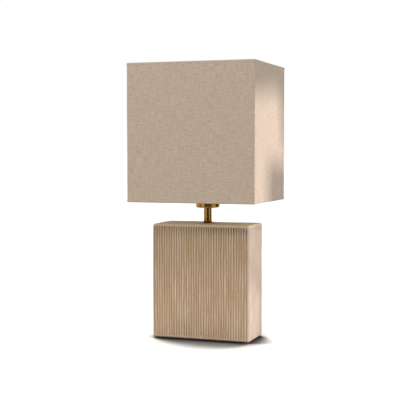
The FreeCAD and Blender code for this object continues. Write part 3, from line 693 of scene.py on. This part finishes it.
def threaded(piece, material, lead, depth, low, high, least_radius):
    """Cuts the thread into a turned piece and makes it plain."""
    give_tree(piece, thread_tree, {"Lead": lead, "Depth": depth, "Low": low, "High": high,
                                   "Least Radius": least_radius, "Material": material})
    made_plain(piece)
    piece.data.shade_smooth()
    piece.data.set_sharp_from_angle(angle=math.radians(40))


# the outer shell, with the 2.5 mm thread that the shade rings run on; (radius, height) outline
shell = turned("holder_shell_threaded", [
    (0.01745, 0.2255), (0.01855, 0.2255), (0.01855, 0.2335), (0.0197, 0.2335), (0.0197, 0.262),
    (0.0173, 0.262), (0.0173, 0.2608), (0.0186, 0.2608), (0.0186, 0.23575), (0.01745, 0.2346)],
    128, 0.0004, antique_brass)
threaded(shell, antique_brass, 0.0025, 0.0006, 0.2340, 0.2612, 0.0192)
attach(shell, "base")
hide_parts("holder_shell")


# ---- Shade frame ----
# Two rectangles of 3 mm steel wire, four bent arms and the flat carrier ring between the shade
# rings, welded and powder coated white.
# Powder coat: satin white with a very slight orange peel.
powder_coat, tree, shader = new_material("white_powder_coat")
tone = blended(tree, grain(tree, 0.01, detail=3.0), "#E3DED3", "#EDE9E0")
tree.links.new(tone, shader.inputs["Base Color"])
shader.inputs["Roughness"].default_value = 0.42
bumped(tree, shader, grain(tree, 0.0012), 0.00003)
give_material(["carrier_ring", "carrier_arms", "bottom_wire", "top_wire"], powder_coat)


# ---- Shade panels ----
# Four sheets of white polystyrene lining behind the linen, laminated to it: satin, faintly
# clouded by the glue behind.
lining, tree, shader = new_material("satin_white_polystyrene")
tone = blended(tree, grain(tree, 0.03, detail=4.0), "#E9E3D8", "#F2EEE6")
tree.links.new(tone, shader.inputs["Base Color"])
shader.inputs["Roughness"].default_value = 0.5
bumped(tree, shader, grain(tree, 0.0016, (3, 3, 1)), 0.00003)
give_material(["shade_panel_front", "shade_panel_back", "shade_panel_left", "shade_panel_right"], lining)


# ---- Linen ----
# One strip of natural linen, stretched round the panels with its ends lapped at the back, and
# rolled round both frame wires and turned in behind the panels at the top and the bottom.
linen_half_x, linen_half_y = 0.103, 0.0835
low_wire, high_wire = 0.224, 0.438
cloth, hem = 0.0005, 0.012
neck_rise, face_start, face_rows = 0.0026, 0.004, 26
roll, skin_offset, leg_offset = 0.00175, 0.00135, 0.00025
lap_start, lap_width, lap_height = 0.082, 0.010, 0.0004
lap_rise, lap_fall = 0.0008, 0.0022
# the outer face eases off the panels a little and gathers where it is rolled at the corners
outer_from, lap_from, roll_reach, least_radius = 0.0009, 0.0011, 0.0025, 0.00012
ease, corner_gather, gather_reach, rolled_ease = 0.00022, 0.0002, 0.005, 0.00012


def cloth_path():
    """Middle of the cloth from one turned-in edge to the other, as (offset from the wire, height)."""
    path = [(leg_offset, low_wire + rise) for rise in (hem, 0.007, 0.0036)]
    path.append((-0.0001, low_wire + neck_rise))
    for angle in range(125, 401, 20):
        turn = math.radians(angle)
        path.append((roll * math.cos(turn), low_wire + roll * math.sin(turn)))
    path.append((skin_offset, low_wire + neck_rise))
    middle = (low_wire + high_wire) / 2
    face = middle - low_wire - face_start
    path += [(skin_offset, low_wire + face_start + face * i / face_rows) for i in range(face_rows)]
    return path + [(skin_offset, middle)] + [(d, low_wire + high_wire - z) for d, z in reversed(path)]


def cloth_stations():
    """Stations round the shade: side, way along it, turn of the corner, and half the side."""
    made = []
    for side in range(4):
        half, count = ((linen_half_x, 52), (linen_half_y, 42))[side % 2]
        for i in range(count + 1):
            made.append((side, -1 + 2 * i / count, None, half))
        made += [(side, 1.0, b / 4, half) for b in range(1, 4)]
    return made


def linen_rings():
    """Loops of points up the outer face and down the inner one, their flat places, and its size."""
    path = cloth_path()
    sides = []
    for i, (d, z) in enumerate(path):
        before, after = Vector(path[max(i - 1, 0)]), Vector(path[min(i + 1, len(path) - 1)])
        tangent = (after - before).normalized()
        sides.append(Vector((-tangent.y, tangent.x)) * cloth / 2)
    outer = [(d - s.x, z - s.y) for (d, z), s in zip(path, sides)]
    inner = [(d + s.x, z + s.y) for (d, z), s in zip(path, sides)]
    loop = outer + inner[::-1]
    stations = cloth_stations()
    rings, marks = [], []
    run = 0.0
    lengths = [0.0]
    for a, b in zip(path, path[1:]):
        lengths.append(lengths[-1] + (Vector(b) - Vector(a)).length)
    along = lengths + lengths[::-1]
    rounds = []
    for k, station in enumerate(stations):
        if k:
            outside = (linen_half_x + skin_offset, linen_half_y + skin_offset, skin_offset)
            a, b = (Vector(block_point(each[:3], *outside)) for each in (stations[k - 1], station))
            run += (b - a).length
        rounds.append(run)
    for (d, z), v in zip(loop, along):
        ring = []
        for station, u in zip(stations, rounds):
            side, t, _, half = station
            fuller = 0.0
            to_corner = (1 - abs(t)) * half
            rolled = min(abs(z - low_wire), abs(z - high_wire)) < roll_reach
            if d > outer_from:
                fuller += ease * (0.5 + noise.noise(Vector((u * 30, v * 22, 3.1))))
                if rolled:
                    fuller += corner_gather * math.exp(-(to_corner / gather_reach) ** 2)
                    fuller += rolled_ease * noise.noise(Vector((u * 90, v * 40, 8.0)))
            if side == 2 and d > lap_from:
                from_lap = t * half - lap_start + lap_width / 2
                risen = min(1.0, max(0.0, from_lap / lap_rise))
                fuller += lap_height * risen * min(1.0, max(0.0, (lap_width - from_lap) / lap_fall))
            d_here = d + fuller
            radius = max(d_here, least_radius)
            px, py = block_point(station[:3], linen_half_x + d_here, linen_half_y + d_here, radius)
            ring.append((px, py, z))
        rings.append(ring)
        marks.append([(u, v) for u in rounds])
    return rings, marks, run, lengths[-1]


# Natural linen: matt, greyed beige yarns, some thicker, darker or lighter for a few centimetres.
# Its yarns lie some 0.8 mm apart; the weave is drawn at 1.7 mm so that it shows.
weave_step = 0.0017
linen_cloth, tree, shader = new_material("natural_slub_linen")
cloth_map = add(tree, "ShaderNodeUVMap", uv_map="cloth")
uv = add(tree, "ShaderNodeSeparateXYZ", {0: cloth_map})
waves = []
for axis in (0, 1):
    turned_by = add(tree, "ShaderNodeMath", {
        0: uv.outputs[axis], 1: math.tau / weave_step}, operation="MULTIPLY")
    waves.append(add(tree, "ShaderNodeMath", {0: turned_by}, operation="SINE"))
checker = add(tree, "ShaderNodeMath", {0: waves[0], 1: waves[1]}, operation="MULTIPLY")


def yarn_noise(length, width, across, detail):
    """Noise drawn out along the yarns: across the shade, or up it."""
    sizes = (length, width, 1.0) if across else (width, length, 1.0)
    scaled = add(tree, "ShaderNodeVectorMath", {
        0: cloth_map, 1: tuple(1 / s for s in sizes)}, operation="MULTIPLY")
    return add(tree, "ShaderNodeTexNoise", {"Vector": scaled, "Scale": 1.0, "Detail": detail})


weft = yarn_noise(0.012, 0.0013, True, 2.0)
warp = yarn_noise(0.018, 0.0013, False, 2.0)
patch = yarn_noise(0.03, 0.03, True, 3.0)
weft_tone = add(tree, "ShaderNodeMapRange", {0: weft, 1: 0.3, 2: 0.7})
linen_tone = blended(tree, weft_tone, "#B29D88", "#D4C2B0")
warp_tone = add(tree, "ShaderNodeMapRange", {0: warp, 1: 0.3, 2: 0.7, 3: 0.0, 4: 1.0})
warp_colour = blended(tree, warp_tone, "#B39F8A", "#D3C2B0")
linen_tone = blended(tree, 0.45, linen_tone, warp_colour)
slub = add(tree, "ShaderNodeMapRange", {
    0: yarn_noise(0.011, 0.0015, True, 1.0), 1: 0.62, 2: 0.74, 3: 0.0, 4: 0.5})
linen_tone = blended(tree, slub, linen_tone, "#8B735C")
pale = add(tree, "ShaderNodeMapRange", {
    0: yarn_noise(0.0016, 0.010, True, 1.0), 1: 0.64, 2: 0.76, 3: 0.0, 4: 0.45})
linen_tone = blended(tree, pale, linen_tone, "#DDD1C3")
worn = add(tree, "ShaderNodeMapRange", {0: patch, 1: 0.3, 2: 0.7, 3: 0.0, 4: 0.25})
linen_tone = blended(tree, worn, linen_tone, "#BFAB98")
gap = add(tree, "ShaderNodeMapRange", {0: checker, 1: -1.0, 2: 1.0, 3: 0.16, 4: 0.0})
linen_tone = blended(tree, gap, linen_tone, "#8E7C6A")
tree.links.new(linen_tone, shader.inputs["Base Color"])
shader.inputs["Roughness"].default_value = 0.9
shader.inputs["Specular IOR Level"].default_value = 0.2
shader.inputs["Sheen Weight"].default_value = 0.15
relief = add(tree, "ShaderNodeMath", {0: checker, 1: 0.35, 2: weft}, operation="MULTIPLY_ADD")
relief = add(tree, "ShaderNodeMath", {0: relief, 1: warp})
bumped(tree, shader, relief, 0.00016)

rings, marks, linen_round, linen_length = linen_rings()
linen = skinned("shade_linen_cloth", rings, linen_cloth)
layer = linen.data.uv_layers.new(name="cloth")
wide = len(rings[0])
flat_marks = [m for ring in marks for m in ring]
for polygon in linen.data.polygons:
    places = [linen.data.loops[i].vertex_index for i in polygon.loop_indices]
    wraps = max(p % wide for p in places) - min(p % wide for p in places) > wide / 2
    for i, p in zip(polygon.loop_indices, places):
        u, v = flat_marks[p]
        layer.data[i].uv = (u + linen_round if wraps and p % wide == 0 else u, v)
linen.data.set_sharp_from_angle(angle=math.radians(60))
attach(linen, "shade")
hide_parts("shade_linen")


# ---- Bulb ----
# An opal pear bulb: aluminium screw cap with a black glass insulator and a brass tip contact,
# and a globe of glass coated white inside.
# Rolled aluminium: light grey, satin.
aluminium, tree, shader = new_material("rolled_cap_aluminium")
rolled = grain(tree, 0.0005, (20, 20, 1), 3.0)
tone = blended(tree, grain(tree, 0.005, detail=3.0), "#BEBEBC", "#D2D2CF")
tree.links.new(tone, shader.inputs["Base Color"])
shader.inputs["Metallic"].default_value = 1.0
rough = add(tree, "ShaderNodeMapRange", {0: rolled, 3: 0.24, 4: 0.4})
tree.links.new(rough.outputs[0], shader.inputs["Roughness"])
cap = turned("bulb_cap_threaded", [
    (0.007, 0.2384), (0.0098, 0.2384), (0.013, 0.24075), (0.013, 0.2595), (0.0127, 0.2595),
    (0.0127, 0.2409), (0.00965, 0.2387), (0.007, 0.2387)], 96, 0.0004, aluminium)
threaded(cap, aluminium, 0.0254 / 7, 0.0009, 0.2410, 0.2570, 0.0128)
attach(cap, "bulb")
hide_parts("bulb_cap")

# Black glass: deep, glossy, moulded with a slightly wavy face.
black_glass, tree, shader = new_material("moulded_black_glass")
tone = blended(tree, grain(tree, 0.004, detail=3.0), "#0C0C0E", "#17171A")
tree.links.new(tone, shader.inputs["Base Color"])
shader.inputs["Roughness"].default_value = 0.12
bumped(tree, shader, grain(tree, 0.003), 0.00004)
give_material(["bulb_insulator"], black_glass)

# Opal glass: white, softly glossy; the inside coat shows as faint clouds.
opal_glass, tree, shader = new_material("opal_coated_glass")
tone = blended(tree, grain(tree, 0.02, detail=4.0), "#EFEBE2", "#F6F3EC")
tree.links.new(tone, shader.inputs["Base Color"])
shader.inputs["Roughness"].default_value = 0.16
shader.inputs["Subsurface Weight"].default_value = 0.2
shader.inputs["Subsurface Scale"].default_value = 0.004
bumped(tree, shader, grain(tree, 0.012), 0.00003)
give_material(["bulb_globe"], opal_glass)
